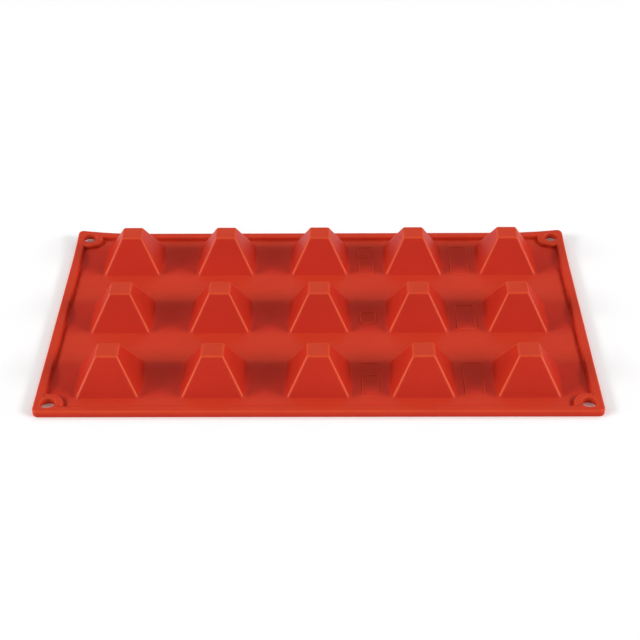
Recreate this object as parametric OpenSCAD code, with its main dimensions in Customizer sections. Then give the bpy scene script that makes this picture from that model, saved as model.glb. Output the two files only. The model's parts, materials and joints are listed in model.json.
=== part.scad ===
// Silicone casting mould with fifteen pyramid cavities, lying with its
// cavity mouths on the table and the cavity bottoms pointing up.
// The origin is the middle of the sheet on the table, +X runs along the
// sheet, +Y to the back and +Z up.  Row 1 is the front row and column 1
// the left one.  The mould is one flexible moulding: its regions are
// separate closed solids here, which meet face to face.

/* [Sheet] */
// Length of the sheet, left to right
sheet_l = 300; // [296:1:320]
// Width of the sheet, front to back
sheet_w = 175; // [172:1:190]
// Thickness of the web between two rows of cavities
web_t = 2.2; // [1.8:0.1:2.8]
// Depth of the shallow trough that runs along each row
trough_depth = 1.2; // [0.4:0.1:1.3]

/* [Rim] */
// Width of the raised rim
rim_w = 5; // [4:0.5:6]
// Height of the rim above the table
rim_h = 4; // [3.2:0.1:5]
// Rounding of the rim's upper edges
rim_edge_r = 1; // [0.4:0.1:1.4]
// Plan radius of the sheet's corners
corner_r = 3.5; // [2:0.5:4]

/* [Corner holes] */
// Diameter of the hole in each corner
hole_d = 8; // [5:0.5:9]
// Distance from the sheet's edges to each hole's centre
hole_inset = 7.5; // [7:0.5:8]
// Radius of the round boss about each hole
boss_r = 8; // [6.5:0.5:8]

/* [Cavities] */
// Distance between neighbouring columns
pitch_x = 56; // [50:0.5:56]
// Distance between neighbouring rows
pitch_y = 58.3; // [52:0.1:58.3]
// Outer side of a cavity where it leaves the table
cup_base = 36.3; // [32:0.1:38]
// Outer side of a cavity at its tip
cup_tip = 11.6; // [8:0.1:16]
// Height of a cavity's tip above the table
cup_h = 22.5; // [16:0.5:30]
// Thickness of a cavity's wall and bottom
wall = 1.5; // [1:0.1:2.2]
// Rounding of a cavity's four sloping edges at the table, outside
cup_edge_r = 2.4; // [1:0.1:3]
// The same rounding inside the cavity
hollow_edge_r = 1.6; // [0.6:0.1:3]
// Bevel round the tip
tip_bevel = 0.5; // [0.2:0.1:1]

/* [Blank relief frames] */
// Height of the relief above the web
relief_h = 0.3; // [0.2:0.1:0.6]
// Width of a frame's raised line
relief_line = 0.8; // [0.6:0.1:1.2]
// Width of the narrow frames, in the gap after column 3
narrow_frame_w = 9.5; // [7:0.5:12]
// Length of the narrow frames of the front and back rows
narrow_frame_l = 30; // [20:0.5:30]
// Blank cells that each of these is parted into
narrow_frame_cells = 3; // [1:1:4]
// Length of the middle row's narrow frame, which is a single cell
single_frame_l = 11.5; // [8:0.5:20]
// Width of the wide frames, in the gap after column 4
wide_frame_w = 11.5; // [8:0.5:12]
// Length of the wide frames of the front and back rows
wide_frame_l = 30; // [20:0.5:30]
// Length of the middle row's wide frame
short_frame_l = 24; // [12:0.5:30]

/* [Hidden] */
columns = 5;
rows = 3;

silicone = [0.82, 0.22, 0.13];
arc_steps = 6;
frame_corner_r = 1.5;

half_l = sheet_l / 2;
half_w = sheet_w / 2;
taper = (cup_base - cup_tip) / 2 / cup_h;
// Wall thickness measured level, through the sloping wall
level_wall = wall * sqrt(1 + taper * taper);
// The trough spans the gap between a row's two bands
trough_half = half_side(web_t);
trough_r = (trough_half * trough_half + trough_depth * trough_depth) / (2 * trough_depth);
// From a row's centre line to the front of the next row's cavities
gap_end = pitch_y - half_side(0);
// How far a cavity's face leans in over the web's thickness
lean = taper * web_t;
// Each corner solid reaches as far as its boss
corner_reach = hole_inset + boss_r;

// Half the outer side of a cavity at height z
function half_side(z) = cup_base / 2 - taper * z;
function column_x(c) = (c - (columns + 1) / 2) * pitch_x;
function row_y(r) = (r - (rows + 1) / 2) * pitch_y;
// Points of a rounded upper edge: centre, radius, first and last angle
function arc(centre, r, a0, a1) =
    [for (i = [0:arc_steps]) let (a = a0 + (a1 - a0) * i / arc_steps) centre + r * [cos(a), sin(a)]];

// ---- plan shapes and profiles ----

module rounded_rect(size, r) {
    square([size.x - 2 * r, size.y], center = true);
    square([size.x, size.y - 2 * r], center = true);
    for (sx = [-1, 1], sy = [-1, 1])
        translate([sx * (size.x / 2 - r), sy * (size.y / 2 - r)])
            circle(r = r, $fn = 16);
}

// Square block from z0 to z1 whose half side goes from half0 to half1
module tapered_block(z0, z1, half0, half1, r) {
    translate([0, 0, z0])
        linear_extrude(z1 - z0, scale = half1 / half0)
            rounded_rect([2 * half0, 2 * half0], r);
}

// Solid disc or quarter disc with a rounded upper edge
module rounded_disc(r, angle = 360) {
    edge = arc([r - rim_edge_r, rim_h - rim_edge_r], rim_edge_r, 0, 90);
    rotate_extrude(angle = angle, $fn = 96)
        polygon(concat([[0, 0], [r, 0]], edge, [[0, rim_h]]));
}

// ---- cavities ----

module cup_outside() {
    bevel_z = cup_h - tip_bevel;
    bevel_half = half_side(bevel_z);
    bevel_edge_r = cup_edge_r * bevel_half / half_side(0);
    hull() {
        tapered_block(0, bevel_z, half_side(0), bevel_half, cup_edge_r);
        tapered_block(bevel_z, cup_h, bevel_half, bevel_half - tip_bevel, bevel_edge_r);
    }
}

// The hollow follows the outside, a wall's thickness in, and runs out below
module cup_hollow() {
    mouth_z = -1;
    floor_z = cup_h - wall;
    mouth_half = half_side(mouth_z) - level_wall;
    floor_half = half_side(floor_z) - level_wall;
    hull()
        tapered_block(mouth_z, floor_z, mouth_half, floor_half, hollow_edge_r);
}

module cavity(r, c) {
    color(silicone)
        translate([column_x(c), row_y(r), 0])
            difference() {
                cup_outside();
                cup_hollow();
            }
}

// ---- web ----

// Length of material along X with the given outline in Y and Z
module along_x(length, outline) {
    translate([-length / 2, 0, 0])
        rotate([90, 0, 90])
            linear_extrude(length)
                polygon(outline);
}

module corner_posts(r, h) {
    for (sx = [-1, 1], sy = [-1, 1])
        translate([sx * (half_l - hole_inset), sy * (half_w - hole_inset), -h / 2])
            cylinder(r = r, h = h, $fn = 96);
}

// Flat band between y0 and y1 at the table, whose long edges lean by the
// amounts lean0 and lean1 where they follow the cavities' sloping faces
module web_band(y0, y1, lean0, lean1) {
    color(silicone)
        difference() {
            along_x(sheet_l - 2 * rim_w, [[y0, 0], [y1, 0], [y1 + lean1, web_t], [y0 - lean0, web_t]]);
            corner_posts(boss_r, 4 * rim_h);
        }
}

// The trough of one row, deepened or filled by lift
module trough(lift) {
    translate([0, 0, web_t - trough_depth + trough_r])
        rotate([0, 90, 0])
            cylinder(r = trough_r - lift, h = 2 * sheet_l, center = true, $fn = 720);
}

// The whole strip of one row, with its trough, before the cavities are cut
module row_strip(lift) {
    difference() {
        along_x(sheet_l - 2 * rim_w, [
            [-half_side(0), 0],
            [half_side(0), 0],
            [half_side(web_t), web_t],
            [-half_side(web_t), web_t]
        ]);
        trough(lift);
    }
}

// Raised outline on the trough's surface, parted into a line of blank cells
module blank_frame(size, cells) {
    pitch = (size.y - relief_line) / cells;
    opening = [size.x - 2 * relief_line, pitch - relief_line];
    intersection() {
        row_strip(relief_h);
        linear_extrude(web_t)
            difference() {
                rounded_rect(size, frame_corner_r);
                for (i = [1:cells])
                    translate([0, (i - (cells + 1) / 2) * pitch])
                        rounded_rect(opening, frame_corner_r - relief_line);
            }
    }
}

module web_bridges(r) {
    middle = r == 2;
    narrow = [narrow_frame_w, middle ? single_frame_l : narrow_frame_l];
    wide = [wide_frame_w, middle ? short_frame_l : wide_frame_l];
    color(silicone)
        difference() {
            translate([0, row_y(r), 0]) {
                row_strip(0);
                translate([column_x(3.5), 0, 0])
                    blank_frame(narrow, middle ? 1 : narrow_frame_cells);
                translate([column_x(4.5), 0, 0])
                    blank_frame(wide, 1);
            }
            for (c = [1:columns])
                translate([column_x(c), row_y(r), 0]) cup_outside();
            corner_posts(boss_r, 4 * rim_h);
        }
}

// ---- rim ----

// Straight length of rim whose outer edge lies on the X axis
module rim_length(length) {
    along_x(length, concat(
        [[0, 0]],
        arc([rim_edge_r, rim_h - rim_edge_r], rim_edge_r, 180, 90),
        arc([rim_w - rim_edge_r, rim_h - rim_edge_r], rim_edge_r, 90, 0),
        [[rim_w, 0]]
    ));
}

module long_rim() {
    color(silicone)
        translate([0, -half_w, 0])
            rim_length(sheet_l - 2 * corner_reach);
}

module short_rim() {
    color(silicone)
        translate([half_l, 0, 0])
            rotate([0, 0, 90])
                rim_length(sheet_w - 2 * corner_reach);
}

// Front left corner; its own corner point is at the origin
module corner_solid() {
    stub = corner_reach - corner_r;
    difference() {
        union() {
            translate([corner_r, corner_r, 0])
                rotate([0, 0, 180]) rounded_disc(corner_r, 90);
            translate([corner_r + stub / 2, 0, 0])
                rim_length(stub);
            translate([0, corner_r + stub / 2, 0])
                mirror([1, -1, 0]) rim_length(stub);
            intersection() {
                translate([hole_inset, hole_inset, 0])
                    rounded_disc(boss_r);
                translate([rim_edge_r, rim_edge_r, 0])
                    cube([corner_reach, corner_reach, rim_h]);
            }
        }
        translate([hole_inset, hole_inset, -rim_h])
            cylinder(d = hole_d, h = 3 * rim_h, $fn = 96);
    }
}

// side_x and side_y are -1 for left and front, 1 for right and back
module eyelet(side_x, side_y) {
    color(silicone)
        mirror([side_x > 0 ? 1 : 0, 0, 0])
            mirror([0, side_y > 0 ? 1 : 0, 0])
                translate([-half_l, -half_w, 0])
                    corner_solid();
}

// ---- nodes ----

for (r = [1:rows], c = [1:columns])
    cavity(r, c);

web_band(rim_w - half_w, row_y(1) - half_side(0), 0, lean);  // web_band_front
web_band(row_y(1) + half_side(0), row_y(1) + gap_end, lean, lean);  // web_band_mid_front
web_band(row_y(2) + half_side(0), row_y(2) + gap_end, lean, lean);  // web_band_mid_back
web_band(row_y(3) + half_side(0), half_w - rim_w, lean, 0);  // web_band_back

for (r = [1:rows])
    web_bridges(r);

long_rim();  // rim_front
rotate([0, 0, 180]) long_rim();  // rim_back
rotate([0, 0, 180]) short_rim();  // rim_left
short_rim();  // rim_right

eyelet(-1, -1);  // eyelet_front_left
eyelet(1, -1);  // eyelet_front_right
eyelet(-1, 1);  // eyelet_back_left
eyelet(1, 1);  // eyelet_back_right
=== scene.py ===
"""Looks of a silicone casting mould with pyramid cavities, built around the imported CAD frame.

All lengths are in millimetres until a mesh is made.  Every piece is a closed skin: rings of
points are laid round a cavity, a web tile or a corner hole, and neighbouring rings are bridged.
"""
import json
import math
import bmesh
import bpy
import numpy as np
from mathutils import Matrix, Vector


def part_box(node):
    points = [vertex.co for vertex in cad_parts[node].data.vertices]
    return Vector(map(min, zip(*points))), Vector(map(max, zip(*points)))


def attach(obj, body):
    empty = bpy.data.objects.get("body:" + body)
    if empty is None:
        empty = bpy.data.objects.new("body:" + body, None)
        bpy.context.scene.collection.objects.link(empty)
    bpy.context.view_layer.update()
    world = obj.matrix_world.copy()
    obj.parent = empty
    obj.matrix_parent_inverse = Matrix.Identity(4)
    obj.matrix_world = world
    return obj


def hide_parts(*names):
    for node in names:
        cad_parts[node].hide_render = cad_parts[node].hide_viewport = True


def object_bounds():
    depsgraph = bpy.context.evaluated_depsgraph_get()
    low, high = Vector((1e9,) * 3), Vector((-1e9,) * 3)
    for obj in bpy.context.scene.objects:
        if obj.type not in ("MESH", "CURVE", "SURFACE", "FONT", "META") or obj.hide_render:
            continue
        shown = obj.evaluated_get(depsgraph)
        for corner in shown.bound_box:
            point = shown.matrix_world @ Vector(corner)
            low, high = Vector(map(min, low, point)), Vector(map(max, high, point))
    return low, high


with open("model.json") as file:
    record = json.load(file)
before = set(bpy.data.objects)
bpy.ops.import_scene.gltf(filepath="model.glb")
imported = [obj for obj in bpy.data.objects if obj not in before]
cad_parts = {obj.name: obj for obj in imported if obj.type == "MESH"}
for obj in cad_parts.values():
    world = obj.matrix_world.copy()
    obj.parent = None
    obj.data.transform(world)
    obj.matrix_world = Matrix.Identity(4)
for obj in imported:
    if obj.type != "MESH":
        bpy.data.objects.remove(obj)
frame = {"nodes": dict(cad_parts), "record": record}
cad_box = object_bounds()

# ---------------------------------------------------------------- sizes, from the frame
MM = 0.001
ROWS, COLUMNS = (1, 2, 3), (1, 2, 3, 4, 5)


def box_mm(node):
    low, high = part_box(node)
    return np.array(low) / MM, np.array(high) / MM


SHEET_HALF = np.array(cad_box[1][:2]) / MM
CUP_LOW, CUP_HIGH = box_mm("cavity_r1c1")
CUP_HALF = (CUP_HIGH[0] - CUP_LOW[0]) / 2
CUP_H = CUP_HIGH[2]
RIM_H = box_mm("rim_front")[1][2]
RIM_W = box_mm("rim_front")[1][1] - box_mm("rim_front")[0][1]
REACH = box_mm("eyelet_front_left")[1][0] - box_mm("eyelet_front_left")[0][0]
WEB_T = box_mm("web_band_mid_front")[1][2]
HOLE = next(m for m in frame["record"]["mounts"] if m["name"] == "corner_hole_back_right")
HOLE_AT = np.array(HOLE["pos_m"][:2]) / MM
HOLE_R = HOLE["dims"]["r_mm"]
BOSS_R = REACH - (SHEET_HALF[0] - HOLE_AT[0])
INNER_HALF = SHEET_HALF - RIM_W
CENTRES = {(r, c): sum(box_mm(f"cavity_r{r}c{c}"))[:2] / 2 for r in ROWS for c in COLUMNS}
ROW_Y = [CENTRES[r, 1][1] for r in ROWS]
COLUMN_X = [CENTRES[1, c][0] for c in COLUMNS]

# Sizes that a bounding box doesn't give; they repeat the CAD model's
TIP_HALF = 5.8
WALL = 1.5
TROUGH_DEPTH = 1.2
CORNER_R = 3.5
TAPER = (CUP_HALF - TIP_HALF) / CUP_H
LEAN = math.atan(TAPER)
LEVEL_WALL = WALL / math.cos(LEAN)
# How far a rounding of radius 1 reaches along the two surfaces of the corner that it rounds
REACH_OF_ROUND = math.tan((math.pi / 2 - LEAN) / 2)

# Roundings
EDGE_R_BASE, EDGE_R_TIP = 2.4, 1.3
TIP_R = 0.8
FRONT_FILLET_R, SIDE_FILLET_R = 0.8, 2.4
LIP_R = 0.5
FLOOR_FILLET_R = 1.0
RIM_EDGE_R = 1.0
RIM_FOOT_R = 0.4
HOLE_EDGE_R = 0.45
WEB_BORDER_R = 0.4
CHANNEL_Z, CHANNEL_REACH = 1.1, 2.6

# How finely the skins are divided, and how near two points are joined into one
SIDE_STEPS, CORNER_STEPS, BEND_STEPS = 12, 8, 6
TIP_SHARES = (0.25, 0.5, 0.75, 0.95)
SIDE_SHARES = (0.03, 0.15, 0.35, 0.6, 0.8, 0.93, 0.985)
WALL_SHARES = (0.04, 0.2, 0.5, 0.8, 0.96)
FLOOR_SHARES = (0.9, 0.6, 0.3)
RAIL_STEP, RELIEF_STEP = 4, 1.5
WELD = 0.002
SHARP = math.radians(40)

# Flat margin outside a cavity's fillet, and flat margin round its mouth on the underside
GUARD, MOUTH_MARGIN = 0.5, 0.3
# A pyramid's edges are rounded less on its inside, down to a least radius
INSET_SHARE, LEAST_EDGE_R = 0.4, 0.3

# The web runs on inside the rim, and its underside there stands a little above the table.
# Its rings of points lie at these distances from its border.
WEB_OVERLAP, BURIED_Z = 0.4, 0.06
CORNER_SHARE = 0.12
BORDER_STEPS = WEB_OVERLAP + np.array([3.0, 2.4, 1.8, 1.2, 0.7, 0.4, 0.25, 0.12, 0.03, -WEB_OVERLAP])
BORDER_NEEDS = 4.2

# How far the back corners stand off the table, and how far from each corner that reaches
CURL_REACH = 38
CURLS = {(-1, 1): 2.7, (1, 1): 2.3}

# How much painted light each region gets, from 0 in the shaded hollows to 1 on the painted highlights of
# rounded edges; on the raised frame lines it is only paleness
TIP_AND_LIP_PAINTED_LIGHT, TIP_EDGE_HIGHLIGHT, BAND_PAINTED_LIGHT, FRAME_PALENESS = 0.19, 0.4, 0.12, 0.25
RIM_PAINTED_LIGHT, RIM_EDGE_HIGHLIGHT, HOLE_EDGE_HIGHLIGHT = 0.13, 0.4, 0.3

# Blank relief frames: raised line, and outer width and length of each frame by row
FRAME_LINE, FRAME_RISE, FRAME_SUNK, FRAME_CORNER_R = 0.8, 0.35, 0.3, 1.5
NARROW_FRAMES = {1: (9.5, 30.0), 2: (9.5, 11.5), 3: (9.5, 30.0)}
NARROW_CELLS = {1: 3, 2: 1, 3: 3}
WIDE_FRAMES = {1: (11.5, 30.0), 2: (11.5, 24.0), 3: (11.5, 30.0)}


# ---------------------------------------------------------------- the web's surface
def border_distance(x, y):
    """Distance from a point of the web to the rim or to the nearest corner boss."""
    to_rim = np.minimum(INNER_HALF[0] - abs(x), INNER_HALF[1] - abs(y))
    to_boss = np.hypot(abs(x) - HOLE_AT[0], abs(y) - HOLE_AT[1]) - BOSS_R
    return np.maximum(np.minimum(to_rim, to_boss), 0)


def web_height(x, y):
    """Upper surface of the web: a trough along each row, and a shallow channel along the rim's foot."""
    across = np.min([abs(y - row_y) for row_y in ROW_Y], axis=0)
    half = CUP_HALF - TAPER * WEB_T
    trough = WEB_T - TROUGH_DEPTH * np.cos(np.clip(across / half, 0, 1) * math.pi / 2) ** 2
    d = border_distance(x, y)
    inside = np.clip(WEB_BORDER_R - d, 0, WEB_BORDER_R)
    fillet = WEB_BORDER_R - np.sqrt(WEB_BORDER_R ** 2 - inside ** 2)
    channel = np.cos(np.clip(d / CHANNEL_REACH, 0, 1) * math.pi / 2) ** 2
    return trough * (1 - channel) + CHANNEL_Z * channel + fillet


def web_wear(y):
    """Painted light and shade on the web: paler on the lit bands than in the shaded troughs between them.
    """
    across = np.min([abs(y - row_y) for row_y in ROW_Y], axis=0)
    band = np.clip((across - 0.6 * CUP_HALF) / (0.4 * CUP_HALF), 0, 1)
    return BAND_PAINTED_LIGHT * band


def curl(x, y):
    """How far the sheet's back corners stand off the table."""
    lift = 0
    for (side_x, side_y), height in CURLS.items():
        d = np.hypot(x - side_x * SHEET_HALF[0], y - side_y * SHEET_HALF[1])
        lift = lift + height * np.clip(1 - d / CURL_REACH, 0, 1) ** 2
    return lift


# ---------------------------------------------------------------- mesh tools
class Skin:
    """Rings of points and the faces between them, which close into one piece."""

    def __init__(self):
        self.points, self.wear, self.faces = [], [], []

    def ring(self, xy, z, wear=0.0):
        start = len(self.points)
        n = len(xy)
        z = np.broadcast_to(z, n)
        self.points += [(p[0], p[1], h) for p, h in zip(xy, z)]
        self.wear += list(np.broadcast_to(wear, n))
        return list(range(start, start + n))

    def bridge(self, rings, closed=True):
        for a, b in zip(rings, rings[1:]):
            n = len(a)
            for i in range(n if closed else n - 1):
                j = (i + 1) % n
                self.faces.append((a[i], a[j], b[j], b[i]))

    def cap(self, ring):
        """Closes a ring with a point in its middle."""
        self.points.append(tuple(np.mean([self.points[i] for i in ring], axis=0)))
        self.wear.append(np.mean([self.wear[i] for i in ring]))
        n = len(ring)
        for i in range(n):
            self.faces.append((ring[i], ring[(i + 1) % n], len(self.points) - 1))

    def build(self, name, material):
        xyz = np.array(self.points, dtype=float)
        xyz[:, 2] += curl(xyz[:, 0], xyz[:, 1])
        mesh = bpy.data.meshes.new(name)
        mesh.from_pydata((xyz * MM).tolist(), [], self.faces)
        # painted light and highlights at each point (plain paleness on the frame lines), which the material
        # turns into paler colour
        attribute = mesh.attributes.new("edge_wear", "FLOAT", "POINT")
        attribute.data.foreach_set("value", np.array(self.wear, dtype=np.float32))
        bm = bmesh.new()
        bm.from_mesh(mesh)
        bmesh.ops.remove_doubles(bm, verts=bm.verts, dist=WELD * MM)
        bmesh.ops.recalc_face_normals(bm, faces=bm.faces)
        for face in bm.faces:
            face.smooth = True
        for edge in bm.edges:
            edge.smooth = edge.is_manifold and edge.calc_face_angle() < SHARP
        bm.to_mesh(mesh)
        bm.free()
        mesh.materials.append(material)
        piece = bpy.data.objects.new(name, mesh)
        bpy.context.scene.collection.objects.link(piece)
        return piece


def bend(a, corner, b, steps=BEND_STEPS):
    """Rings that turn smoothly from ring a to ring b; corner is where their surfaces would meet."""
    for t in np.linspace(0, 1, steps + 1):
        yield (1 - t) ** 2 * a + 2 * t * (1 - t) * corner + t ** 2 * b


def rounded_square(half, radius):
    """Ring of points and their outward directions, anticlockwise from the right side's front end."""
    points, directions = [], []
    for quarter in range(4):
        turn = quarter * math.pi / 2
        rotation = np.array([[math.cos(turn), -math.sin(turn)], [math.sin(turn), math.cos(turn)]])
        flat = half - radius
        local = [((half, y), (1, 0)) for y in np.linspace(-flat, flat, SIDE_STEPS + 1)]
        for step in range(1, CORNER_STEPS):
            angle = math.pi / 2 * step / CORNER_STEPS
            out = np.array([math.cos(angle), math.sin(angle)])
            local.append((flat + radius * out, out))
        points += [rotation @ np.array(p) for p, _ in local]
        directions += [rotation @ np.array(d) for _, d in local]
    return np.array(points), np.array(directions)


def on_ring(xy, z):
    return np.column_stack([xy, np.broadcast_to(z, len(xy))])


# Painted highlight round a rounded_square ring: a pale line down each rounded corner, nearer its left or
# right side
EDGE_HIGHLIGHT, EDGE_SKEW = 0.85, 1.6
FALLING = np.sin(np.linspace(0, 1, CORNER_STEPS + 1) ** EDGE_SKEW * math.pi) ** 2
CORNER_HIGHLIGHT = EDGE_HIGHLIGHT * np.concatenate([
    part
    for corner in (FALLING[::-1], FALLING, FALLING[::-1], FALLING)
    for part in (np.zeros(SIDE_STEPS), corner[:-1])
])


# ---------------------------------------------------------------- cavities
def face_ring(z, inset=0.0):
    """Ring at height z on the pyramid's sloping faces, moved in level by inset."""
    half = CUP_HALF - TAPER * np.asarray(z, dtype=float) - inset
    radius = EDGE_R_BASE + (EDGE_R_TIP - EDGE_R_BASE) * np.mean(z) / CUP_H
    flat, directions = rounded_square(float(np.mean(half)), max(radius - inset * INSET_SHARE, LEAST_EDGE_R))
    grow = half - np.mean(half)
    return flat + directions * np.reshape(np.broadcast_to(grow, len(flat)), (-1, 1)), directions


def base_line(centre):
    """Where the sloping faces of the cavity at centre meet the web: ring, heights and directions."""
    z = np.full(4 * (SIDE_STEPS + CORNER_STEPS), WEB_T)
    for _ in range(6):
        xy, out = face_ring(z)
        z = web_height(xy[:, 0] + centre[0], xy[:, 1] + centre[1])
    return xy, z, out


def cup_foot(centre):
    """Rings of the fillet at a cavity's foot, and the last ring, which lies flat on the web.

    The fillet is small along the front and back, and wider along the left and right sides.
    """
    xy, z, out = base_line(centre)
    radius = FRONT_FILLET_R + (SIDE_FILLET_R - FRONT_FILLET_R) * abs(out[:, 0]) ** 2
    tangent = (radius * REACH_OF_ROUND)[:, None]
    rise = tangent[:, 0] * math.cos(LEAN)
    upper = on_ring(xy - out * tangent * math.sin(LEAN), z + rise)
    foot = xy + out * tangent
    lower = on_ring(foot, web_height(foot[:, 0] + centre[0], foot[:, 1] + centre[1]))
    rings = list(bend(upper, on_ring(xy, z), lower))
    edge = foot + out * GUARD
    rings.append(on_ring(edge, web_height(edge[:, 0] + centre[0], edge[:, 1] + centre[1])))
    return rings


def cavity(name, centre, material):
    skin = Skin()
    tangent = TIP_R * REACH_OF_ROUND
    rings = []

    def add(points, wear=0.0):
        rings.append(skin.ring(points[:, :2] + centre, points[:, 2], wear))

    # outside, from the tip down to the web
    tip_flat, _ = rounded_square(TIP_HALF - tangent, EDGE_R_TIP * 0.5)
    # the tip flat gets painted light, its rounded edge a painted highlight, the rounded corners down the
    # faces painted highlight lines, and the foot the web's painted light and shade
    for share in TIP_SHARES:
        add(on_ring(tip_flat * share, CUP_H), TIP_AND_LIP_PAINTED_LIGHT)
    tip_corner, _ = face_ring(CUP_H)
    below = CUP_H - tangent * math.cos(LEAN)
    shoulder, _ = face_ring(below)
    top_ring = on_ring(shoulder, below)
    for points in bend(on_ring(tip_flat, CUP_H), on_ring(tip_corner, CUP_H), top_ring):
        add(points, TIP_EDGE_HIGHLIGHT)
    foot = cup_foot(centre)
    for share in SIDE_SHARES:
        add(top_ring * (1 - share) + foot[0] * share, CORNER_HIGHLIGHT)
    for points in foot:
        add(points, web_wear(points[:, 1] + centre[1]))

    # round the outer edge of this piece and up inside the cavity
    edge = foot[-1].copy()
    edge[:, 2] = 0
    add(edge)
    lip = LIP_R * REACH_OF_ROUND
    lip_z = lip * math.cos(LEAN)
    mouth, out = face_ring(0, LEVEL_WALL)
    wall_start = on_ring(face_ring(lip_z, LEVEL_WALL)[0], lip_z)
    add(on_ring(mouth + out * (lip + MOUTH_MARGIN), 0))
    # painted light on the mouth's rounded lip
    for points in bend(on_ring(mouth + out * lip, 0), on_ring(mouth, 0), wall_start, 4):
        add(points, TIP_AND_LIP_PAINTED_LIGHT)
    floor_z = CUP_H - WALL
    turn = FLOOR_FILLET_R * REACH_OF_ROUND
    floor_corner, out = face_ring(floor_z, LEVEL_WALL)
    wall_end_z = floor_z - turn * math.cos(LEAN)
    wall_end = on_ring(face_ring(wall_end_z, LEVEL_WALL)[0], wall_end_z)
    for share in WALL_SHARES:
        add(wall_start * (1 - share) + wall_end * share)
    floor_flat = floor_corner - out * turn
    for points in bend(wall_end, on_ring(floor_corner, floor_z), on_ring(floor_flat, floor_z)):
        add(points)
    for share in FLOOR_SHARES:
        add(on_ring(floor_flat * share, floor_z))
    skin.bridge(rings)
    skin.cap(rings[0])
    skin.cap(rings[-1])
    return skin.build(name, material)


# ---------------------------------------------------------------- web
def tile_border(low, high, bosses):
    """Ring round a web tile, matched point by point with rounded_square.

    bosses lists the tile's corners that a corner boss bites into, 0 to 3 anticlockwise from the
    back right.
    """
    corners = [(high[0], high[1]), (low[0], high[1]), (low[0], low[1]), (high[0], low[1])]
    incoming = [(0, 1), (-1, 0), (0, -1), (1, 0)]
    size = high - low
    paths = []
    for k, corner in enumerate(corners):
        corner, into = np.array(corner), np.array(incoming[k])
        away = np.array(incoming[(k + 1) % 4])
        if k in bosses:
            boss = np.sign(corner) * HOLE_AT
            depth = abs(corner - boss)
            radius = BOSS_R - WEB_OVERLAP
            along = np.sqrt(radius ** 2 - depth ** 2)
            start = corner - into * (abs(corner - boss) @ abs(into) + along @ abs(away))
            end = corner + away * (abs(corner - boss) @ abs(away) + along @ abs(into))
            angle0 = math.atan2(*(start - boss)[::-1])
            angle1 = math.atan2(*(end - boss)[::-1])
            sweep = (angle1 - angle0) % (2 * math.pi) - 2 * math.pi
            angles = angle0 + sweep * np.linspace(0, 1, CORNER_STEPS + 1)
            paths.append(boss + radius * np.column_stack([np.cos(angles), np.sin(angles)]))
        else:
            share = CORNER_SHARE * np.linspace(1, 0, CORNER_STEPS // 2 + 1)
            first = [corner - into * (size @ abs(into)) * s for s in share]
            last = [corner + away * (size @ abs(away)) * s for s in share[-2::-1]]
            paths.append(np.array(first + last))
    ring = []
    for k in range(4):
        ring += list(np.linspace(paths[k - 1][-1], paths[k][0], SIDE_STEPS + 1))
        ring += list(paths[k][1:-1])
    return np.array(ring)


def tile_limits(r, c):
    """Lowest and highest corners of the web tile round one cavity; the web runs on under the rim."""
    end = INNER_HALF + WEB_OVERLAP
    xs = [-end[0]] + [(a + b) / 2 for a, b in zip(COLUMN_X, COLUMN_X[1:])] + [end[0]]
    ys = [-end[1]] + [(a + b) / 2 for a, b in zip(ROW_Y, ROW_Y[1:])] + [end[1]]
    return np.array([xs[c - 1], ys[r - 1]]), np.array([xs[c], ys[r]])


def web(name, material):
    skin = Skin()
    boss_corner = {(3, 5): 0, (3, 1): 1, (1, 1): 2, (1, 5): 3}
    for (r, c), centre in CENTRES.items():
        bosses = [boss_corner[r, c]] if (r, c) in boss_corner else []
        outer = tile_border(*tile_limits(r, c), bosses)
        inner = cup_foot(centre)[-1][:, :2] + centre
        length = np.linalg.norm(outer - inner, axis=1)
        shrink = np.minimum(1, length / BORDER_NEEDS)
        near = [1 - d * shrink / length for d in BORDER_STEPS]
        shares = [near[0] * s for s in (0, 0.12, 0.3, 0.5, 0.75)] + near
        rings = []
        for share in shares:
            xy = inner + (outer - inner) * share[:, None]
            # painted light on the lit bands, painted shade in the troughs
            rings.append(skin.ring(xy, web_height(xy[:, 0], xy[:, 1]), web_wear(xy[:, 1])))
        on_border = border_distance(outer[:, 0], outer[:, 1]) < WELD
        rings.append(skin.ring(outer, np.where(on_border, BURIED_Z, 0)))
        for part in (1, 0.66, 0.33, 0):
            share = near[-4] * part
            rings.append(skin.ring(inner + (outer - inner) * share[:, None], 0.0))
        skin.bridge(rings[:len(shares)])
        skin.bridge(rings[len(shares):])
        skin.bridge([rings[0], rings[-1]])
        top, bottom = rings[len(shares) - 1], rings[len(shares)]
        for i in range(len(outer)):
            j = (i + 1) % len(outer)
            if on_border[i] and on_border[j]:
                skin.faces.append((top[i], top[j], bottom[j], bottom[i]))
    return skin.build(name, material)


# ---------------------------------------------------------------- rim and corners
def arc(centre, radius, first, last, steps):
    angles = np.radians(np.linspace(first, last, steps + 1))
    return np.array(centre) + radius * np.column_stack([np.cos(angles), np.sin(angles)])


def rim_profile():
    """Closed outline of the rim: distance in from the sheet's edge, and height."""
    top = RIM_H - RIM_EDGE_R
    outer = arc((RIM_EDGE_R, top), RIM_EDGE_R, 180, 90, 6)
    inner = arc((RIM_W - RIM_EDGE_R, top), RIM_EDGE_R, 90, 0, 6)
    foot = arc((RIM_FOOT_R, RIM_FOOT_R), RIM_FOOT_R, 270, 180, 3)
    return np.vstack([foot, outer, inner, [(RIM_W, 0)]])


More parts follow.
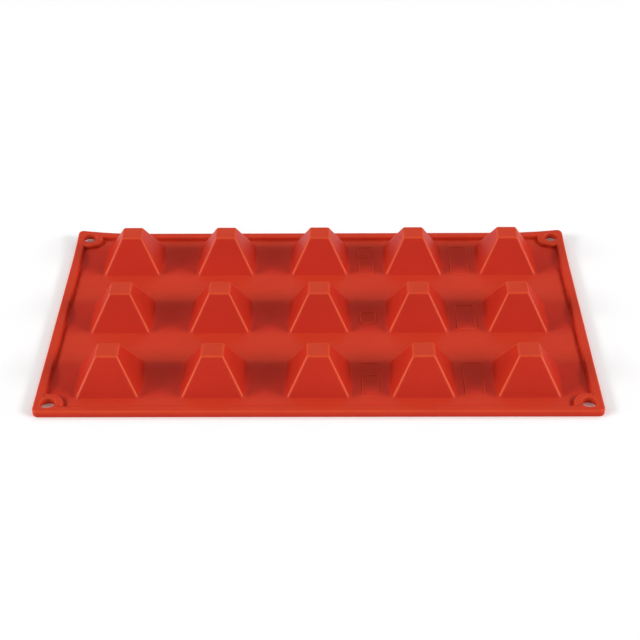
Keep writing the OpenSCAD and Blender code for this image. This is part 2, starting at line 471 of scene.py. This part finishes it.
def rim_rail(name, start, along, inward, length, material):
    """Straight rail from start; along and inward are level directions."""
    skin = Skin()
    profile = rim_profile()
    # painted highlight along the rounded outer edge, painted light on the rest of the top
    line = np.sin(np.linspace(0, math.pi, 7)) ** 2
    edge = RIM_PAINTED_LIGHT + (RIM_EDGE_HIGHLIGHT - RIM_PAINTED_LIGHT) * line
    wear = np.concatenate([np.zeros(4), edge, np.full(7, RIM_PAINTED_LIGHT), [0.0]])
    start, along, inward = map(np.array, (start, along, inward))
    rings = []
    for s in np.linspace(0, length, int(length // RAIL_STEP)):
        xy = start + along * s + inward * profile[:, :1]
        rings.append(skin.ring(xy, profile[:, 1], wear))
    skin.bridge(rings)
    skin.cap(rings[0])
    skin.cap(rings[-1])
    return skin.build(name, material)


def eyelet_outline(outer, inner=None):
    """Outline of the front left corner solid, whose corner is at 0, 0.

    Its edges along the sheet's outside are moved in by outer, and those towards the web by inner.
    """
    inner = outer if inner is None else inner
    hole = SHEET_HALF - HOLE_AT
    edge = RIM_W - inner
    meet = hole[0] + math.sqrt(BOSS_R ** 2 - (hole[1] - RIM_W) ** 2)
    start = math.degrees(math.atan2(RIM_W - hole[1], meet - hole[0]))
    arm_x = np.linspace((REACH, outer), (REACH, edge), 5)
    inner_x = np.linspace((REACH, edge), (meet, edge), 3)[1:-1]
    turn_x = arc((meet, RIM_W), inner, 270, 180 + start, 4)
    boss = arc(hole, BOSS_R - inner, start, 90 - start, 20)[1:-1]
    turn_y = arc((RIM_W, meet), inner, -90 - start, -180, 4)
    inner_y = np.linspace((edge, meet), (edge, REACH), 3)[1:-1]
    arm_y = np.linspace((edge, REACH), (outer, REACH), 5)
    outer_y = np.linspace((outer, REACH), (outer, CORNER_R), 8)[1:-1]
    corner = arc((CORNER_R, CORNER_R), CORNER_R - outer, 180, 270, 10)
    outer_x = np.linspace((CORNER_R, outer), (REACH, outer), 8)[1:-1]
    return np.vstack([arm_x, inner_x, turn_x, boss, turn_y, inner_y, arm_y, outer_y, corner, outer_x])


def eyelet(name, side_x, side_y, material):
    skin = Skin()
    hole = SHEET_HALF - HOLE_AT
    rings = []

    def add(xy, z, wear=0.0):
        mirrored = (xy - SHEET_HALF) * (-side_x, -side_y)
        rings.append(skin.ring(mirrored, z, wear))

    flat = eyelet_outline(RIM_EDGE_R)
    angles = np.arctan2(flat[:, 1] - hole[1], flat[:, 0] - hole[0])
    spokes = np.column_stack([np.cos(angles), np.sin(angles)])
    # outside, from the foot up and over to the hole
    foot = eyelet_outline(RIM_FOOT_R, 0)
    for angle in np.radians((270, 240, 210, 180)):
        outline = eyelet_outline(RIM_FOOT_R * (1 + math.cos(angle)), 0)
        add(outline, RIM_FOOT_R * (1 + math.sin(angle)))
    for angle in np.radians(np.linspace(180, 90, 7)):
        outline = eyelet_outline(RIM_EDGE_R * (1 + math.cos(angle)))
        # painted highlight along the rounded outer edge, painted light on the top
        wear = RIM_PAINTED_LIGHT + (RIM_EDGE_HIGHLIGHT - RIM_PAINTED_LIGHT) * math.sin(2 * angle) ** 2
        add(outline, RIM_H - RIM_EDGE_R * (1 - math.sin(angle)), wear)
    hole_edge = hole + spokes * (HOLE_R + HOLE_EDGE_R)
    for share in (0.06, 0.35, 0.65, 0.94):
        add(flat * (1 - share) + hole_edge * share, RIM_H, RIM_PAINTED_LIGHT)
    # down the hole, whose two mouths are rounded alike
    # painted highlight on the hole's upper rounded mouth, a faint one on the lower
    for angle in np.radians(np.linspace(90, 0, 5)):
        radius = HOLE_R + HOLE_EDGE_R * (1 - math.cos(angle))
        add(hole + spokes * radius, RIM_H - HOLE_EDGE_R * (1 - math.sin(angle)), HOLE_EDGE_HIGHLIGHT)
    for angle in np.radians(np.linspace(0, 90, 5)):
        radius = HOLE_R + HOLE_EDGE_R * (1 - math.cos(angle))
        add(hole + spokes * radius, HOLE_EDGE_R * (1 - math.sin(angle)), 0.1)
    for share in (0.94, 0.5, 0.06):
        add(foot * (1 - share) + hole_edge * share, 0.0)
    rings.append(rings[0])
    skin.bridge(rings)
    return skin.build(name, material)


# ---------------------------------------------------------------- blank relief frames
LINE_ANGLES = np.radians([180, 150, 120, 90, 60, 30, 0])


def relief_outline(skin, centre, size):
    """Raised line round a blank rounded rectangle of the given outer size, lying on the web."""
    radius = FRAME_CORNER_R - FRAME_LINE / 2
    half = np.array(size) / 2 - FRAME_CORNER_R
    path, out = [], []
    for k, signs in enumerate(((1, 1), (-1, 1), (-1, -1), (1, -1))):
        path += list(arc(half * signs, radius, 90 * k, 90 * k + 90, 6))
        out += list(arc((0, 0), 1.0, 90 * k, 90 * k + 90, 6))
    long_path, long_out = [], []
    for i in range(len(path)):
        a, b = path[i], path[(i + 1) % len(path)]
        steps = max(1, int(np.linalg.norm(b - a) // RELIEF_STEP))
        for t in np.arange(steps) / steps:
            direction = out[i] * (1 - t) + out[(i + 1) % len(path)] * t
            long_path.append(a * (1 - t) + b * t + centre)
            long_out.append(direction / np.linalg.norm(direction))
    path, out = np.array(long_path), np.array(long_out)
    base = web_height(path[:, 0], path[:, 1])
    rings = []
    for angle in LINE_ANGLES:
        xy = path + out * FRAME_LINE / 2 * math.cos(angle)
        rings.append(skin.ring(xy, base + FRAME_RISE * math.sin(angle), FRAME_PALENESS))
    rings.append(skin.ring(path + out * FRAME_LINE / 2, base - FRAME_SUNK))
    rings.append(skin.ring(path - out * FRAME_LINE / 2, base - FRAME_SUNK))
    rings.append(rings[0])
    skin.bridge(rings)


def relief_bar(skin, centre, length):
    """Raised line across a frame, which parts two of its cells."""
    across = FRAME_LINE / 2 * np.append(np.cos(LINE_ANGLES), (1, -1))
    rise = np.append(FRAME_RISE * np.sin(LINE_ANGLES), (-FRAME_SUNK, -FRAME_SUNK))
    base = web_height(*centre)
    rings = []
    for x in np.linspace(-length / 2, length / 2, 7):
        xy = centre + np.column_stack([np.full(len(across), x), across])
        rings.append(skin.ring(xy, base + rise, FRAME_PALENESS))
    skin.bridge(rings)
    skin.cap(rings[0])
    skin.cap(rings[-1])


def relief(name, row, material):
    skin = Skin()
    y = ROW_Y[row - 1]
    narrow_x, wide_x = np.mean(COLUMN_X[2:4]), np.mean(COLUMN_X[3:5])
    relief_outline(skin, (narrow_x, y), NARROW_FRAMES[row])
    relief_outline(skin, (wide_x, y), WIDE_FRAMES[row])
    width, length = NARROW_FRAMES[row]
    cells = NARROW_CELLS[row]
    for i in range(1, cells):
        offset = (length - FRAME_LINE) * (i / cells - 0.5)
        relief_bar(skin, np.array((narrow_x, y + offset)), width - FRAME_LINE)
    return skin.build(name, material)


# ---------------------------------------------------------------- material
# PALER_PAINTED_LIGHT is the colour of the painted light and highlights; SILICONE and DARKER are the
# silicone's own uneven tone
SILICONE = (0.510, 0.0262, 0.0112)
DARKER = (0.480, 0.0240, 0.0104)
PALER_PAINTED_LIGHT = (0.740, 0.1200, 0.0320)


def silicone(name, roughness, grain):
    """Satin moulded silicone: faint mottling, fine grain, painted highlights on rounded edges, painted
    light on the lit tops and bands, and uneven gloss.
    """
    material = bpy.data.materials.new(name)
    material.use_nodes = True
    nodes, links = material.node_tree.nodes, material.node_tree.links
    shader = nodes["Principled BSDF"]
    shader.inputs["Specular IOR Level"].default_value = 0.1
    where = nodes.new("ShaderNodeTexCoord").outputs["Object"]

    def noise(scale, detail, out="Fac"):
        node = nodes.new("ShaderNodeTexNoise")
        node.inputs["Scale"].default_value = scale
        node.inputs["Detail"].default_value = detail
        links.new(where, node.inputs["Vector"])
        return node.outputs[out]

    def spread(value, low, high):
        node = nodes.new("ShaderNodeMapRange")
        node.inputs["From Min"].default_value = 0.3
        node.inputs["From Max"].default_value = 0.7
        node.inputs["To Min"].default_value = low
        node.inputs["To Max"].default_value = high
        links.new(value, node.inputs["Value"])
        return node.outputs["Result"]

    def mix(factor, low, high):
        node = nodes.new("ShaderNodeMix")
        node.data_type = "RGBA"
        links.new(factor, node.inputs["Factor"])
        colours = [socket for socket in node.inputs if socket.type == "RGBA"]
        for socket, value in zip(colours, (low, high)):
            if isinstance(value, tuple):
                socket.default_value = (*value, 1)
            else:
                links.new(value, socket)
        return next(socket for socket in node.outputs if socket.type == "RGBA")

    mottled = mix(spread(noise(38, 3), 0.0, 1.0), DARKER, SILICONE)
    # painted light and highlights: the colour mixes towards PALER_PAINTED_LIGHT where the mask rises,
    # patchy by noise
    wear = nodes.new("ShaderNodeAttribute")
    wear.attribute_name = "edge_wear"
    patchy = nodes.new("ShaderNodeMath")
    patchy.operation = "MULTIPLY"
    links.new(wear.outputs["Fac"], patchy.inputs[0])
    links.new(spread(noise(160, 2), 0.8, 1.0), patchy.inputs[1])
    links.new(mix(patchy.outputs["Value"], mottled, PALER_PAINTED_LIGHT), shader.inputs["Base Color"])
    links.new(spread(noise(55, 4), roughness - 0.06, roughness + 0.08), shader.inputs["Roughness"])
    bump = nodes.new("ShaderNodeBump")
    bump.inputs["Strength"].default_value = 0.35
    bump.inputs["Distance"].default_value = 0.00006
    links.new(noise(grain, 3), bump.inputs["Height"])
    soft = nodes.new("ShaderNodeBump")
    soft.inputs["Strength"].default_value = 0.25
    soft.inputs["Distance"].default_value = 0.0006
    links.new(noise(60, 1), soft.inputs["Height"])
    links.new(soft.outputs["Normal"], bump.inputs["Normal"])
    links.new(bump.outputs["Normal"], shader.inputs["Normal"])
    return material


# ---------------------------------------------------------------- studio
def photo_camera():
    """Camera in front of the sheet, looking down at its middle."""
    data = bpy.data.cameras.new("camera")
    data.sensor_width = 36.0
    data.lens = 78.28
    position = Vector((0.0082, -0.649, 0.4653))
    down, left, roll = map(math.radians, (35.65, 0.68, -0.53))
    ahead = Vector((-math.sin(left) * math.cos(down), math.cos(left) * math.cos(down), -math.sin(down)))
    level = Vector((math.cos(left), math.sin(left), 0))
    upright = level.cross(ahead)
    right = math.cos(roll) * level + math.sin(roll) * upright
    up = right.cross(ahead)
    camera = bpy.data.objects.new("camera", data)
    camera.matrix_world = Matrix((right, up, -ahead)).transposed().to_4x4()
    camera.location = position
    bpy.context.scene.collection.objects.link(camera)
    bpy.context.scene.camera = camera


def soft_box(name, azimuth, elevation, away_m, spread, irradiance):
    """Lamp aimed at the sheet's middle.

    azimuth runs from +X towards the back and spread is how wide and high the lamp looks, in degrees.
    """
    turn, lift = math.radians(azimuth), math.radians(elevation)
    direction = Vector((math.cos(turn) * math.cos(lift), math.sin(turn) * math.cos(lift), math.sin(lift)))
    data = bpy.data.lights.new(name, "AREA")
    data.shape = "RECTANGLE"
    data.size, data.size_y = (2 * away_m * math.tan(math.radians(angle) / 2) for angle in spread)
    data.energy = math.pi * away_m ** 2 * irradiance
    lamp = bpy.data.objects.new(name, data)
    lamp.location = direction * away_m
    lamp.rotation_euler = direction.to_track_quat("Z", "Y").to_euler()
    bpy.context.scene.collection.objects.link(lamp)


# Azimuth, elevation, distance, spread and irradiance of each lamp; the side lamps stand in pairs
SIDE_LAMPS = {
    "key": (-20, 26, 3.0, (26, 12), 1.95),
    "low": (-5, 9, 3.0, (16, 10), 0.6),
    "high": (35, 50, 1.3, (25, 20), 0.5),
}
FRONT_LAMP = (-90, 36, 3.0, (40, 25), 0.42)
BACK_LAMP = (90, 40, 1.1, (40, 25), 0.25)


def studio():
    scene = bpy.context.scene
    scene.view_settings.view_transform = "Standard"
    world = bpy.data.worlds.new("studio")
    scene.world = world
    world.use_nodes = True
    world.node_tree.nodes["Background"].inputs["Color"].default_value = (1, 1, 1, 1)
    world.node_tree.nodes["Background"].inputs["Strength"].default_value = 0.18
    for name, (azimuth, *rest) in SIDE_LAMPS.items():
        soft_box(f"{name}_right", azimuth, *rest)
        soft_box(f"{name}_left", 180 - azimuth, *rest)
    soft_box("front", *FRONT_LAMP)
    soft_box("back", *BACK_LAMP)
    bpy.ops.mesh.primitive_plane_add(size=16)
    floor = bpy.context.object
    floor.name = "floor"
    material = bpy.data.materials.new("pale_floor")
    material.use_nodes = True
    shader = material.node_tree.nodes["Principled BSDF"]
    shader.inputs["Base Color"].default_value = (0.92, 0.92, 0.92, 1)
    shader.inputs["Roughness"].default_value = 0.8
    floor.data.materials.append(material)


# ---------------------------------------------------------------- the mould
def keep(piece, slot, *nodes):
    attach(piece, "root")
    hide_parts(*nodes)


photo_camera()
studio()
cavity_material = silicone("cavity_silicone_satin", 0.42, 1400)
web_material = silicone("web_silicone_satin", 0.46, 1100)
rim_material = silicone("rim_silicone_satin", 0.44, 1400)

for (r, c), centre in CENTRES.items():
    node = f"cavity_r{r}c{c}"
    keep(cavity(f"{node}_skin", centre, cavity_material), "cavity_silicone", node)

WEB_NODES = [n for n in sorted(frame["nodes"]) if n.startswith("web_")]
keep(web("web_skin", web_material), "web_silicone", *WEB_NODES)
for row in ROWS:
    piece = relief(f"blank_frames_row{row}", row, web_material)
    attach(piece, "root")

LENGTH = 2 * (SHEET_HALF - REACH)
RAILS = {
    "rim_front": ((-LENGTH[0] / 2, -SHEET_HALF[1]), (1, 0), (0, 1), LENGTH[0]),
    "rim_back": ((-LENGTH[0] / 2, SHEET_HALF[1]), (1, 0), (0, -1), LENGTH[0]),
    "rim_left": ((-SHEET_HALF[0], -LENGTH[1] / 2), (0, 1), (1, 0), LENGTH[1]),
    "rim_right": ((SHEET_HALF[0], -LENGTH[1] / 2), (0, 1), (-1, 0), LENGTH[1]),
}
for node, (start, along, inward, length) in RAILS.items():
    keep(rim_rail(f"{node}_rail", start, along, inward, length, rim_material), "rim_silicone", node)
for side_y, row_word in ((-1, "front"), (1, "back")):
    for side_x, side_word in ((-1, "left"), (1, "right")):
        node = f"eyelet_{row_word}_{side_word}"
        keep(eyelet(f"{node}_skin", side_x, side_y, rim_material), "rim_silicone", node)
